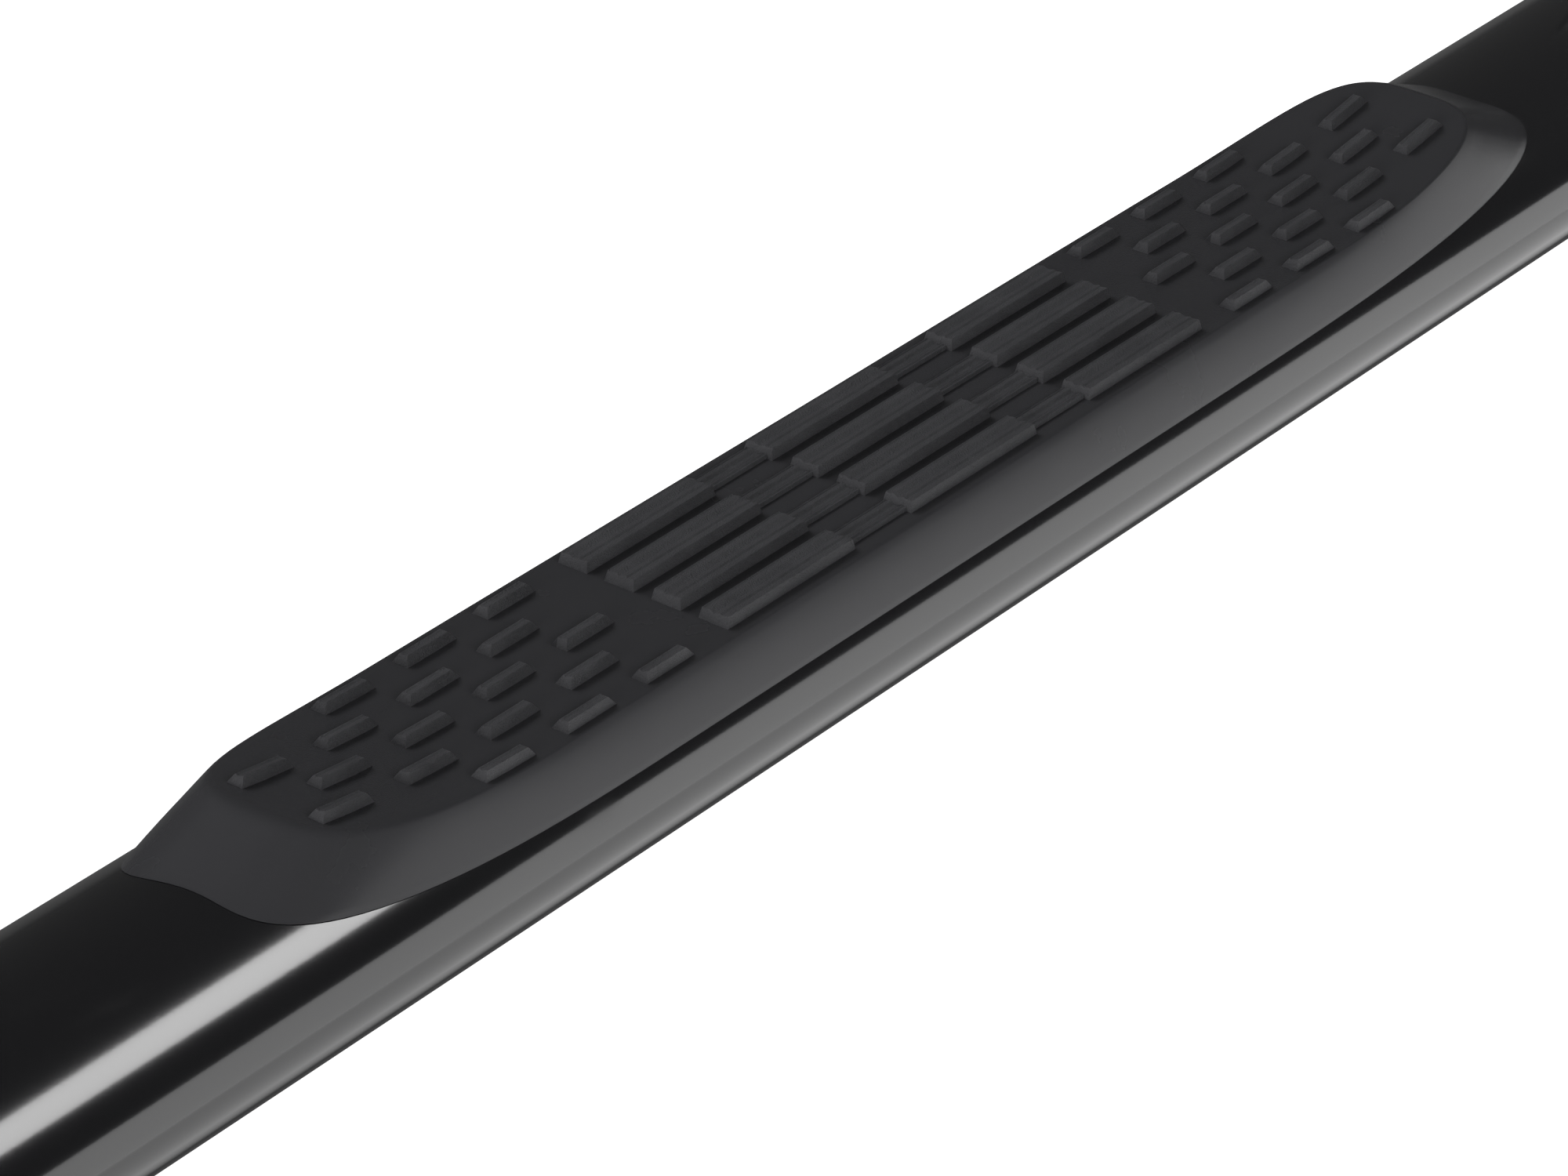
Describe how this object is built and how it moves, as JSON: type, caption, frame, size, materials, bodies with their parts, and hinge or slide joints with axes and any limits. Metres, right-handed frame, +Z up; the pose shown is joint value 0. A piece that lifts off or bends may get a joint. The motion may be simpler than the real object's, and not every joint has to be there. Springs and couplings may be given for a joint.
{
  "type": "running board",
  "caption": "Oval-tube running board with one moulded, ribbed step pad, end caps and two bolted bracket sets that hang it beside a pickup's or van's sill.",
  "frame": {"origin": "under the middle of the board, level with the lowest edge of the bracket arms and midway between the tube's outboard side and the hangers' vehicle faces; the tube's axis is at y -41.1 mm, z 46.4 mm", "axes": "+X along the tube towards the vehicle's front, +Y inboard towards the vehicle, +Z up"},
  "size_m": [1.514, 0.1838, 0.1644],
  "materials": {
    "tube_coat": "gloss black powder coat over steel",
    "bracket_coat": "semi-gloss black powder coat over steel",
    "pad_plastic": "moulded black polypropylene, satin with a fine grain",
    "cap_plastic": "moulded black plastic, satin",
    "clip_nylon": "natural nylon",
    "saddle_rubber": "moulded black rubber",
    "zinc_steel": "bright zinc plating"
  },
  "bodies": {
    "root": {"side_tube": "tube_coat", "step_pad": "pad_plastic", "pad_clips": "clip_nylon", "front_end_cap": "cap_plastic", "rear_end_cap": "cap_plastic", "end_cap_screws": "zinc_steel", "front_nut_plate": "zinc_steel", "rear_nut_plate": "zinc_steel", "nut_plate_nuts": "zinc_steel", "front_saddle": "saddle_rubber", "rear_saddle": "saddle_rubber", "front_bracket_arm": "bracket_coat", "rear_bracket_arm": "bracket_coat", "front_bracket_gussets": "bracket_coat", "rear_bracket_gussets": "bracket_coat", "front_hanger_plate": "bracket_coat", "rear_hanger_plate": "bracket_coat", "tube_bolts": "zinc_steel", "tube_bolt_washers": "zinc_steel", "tube_bolt_lock_washers": "zinc_steel", "hanger_bolts": "zinc_steel", "hanger_bolt_washers": "zinc_steel", "hanger_nut_washers": "zinc_steel", "hanger_lock_washers": "zinc_steel", "hanger_nuts": "zinc_steel"}
  },
  "joints": []
}
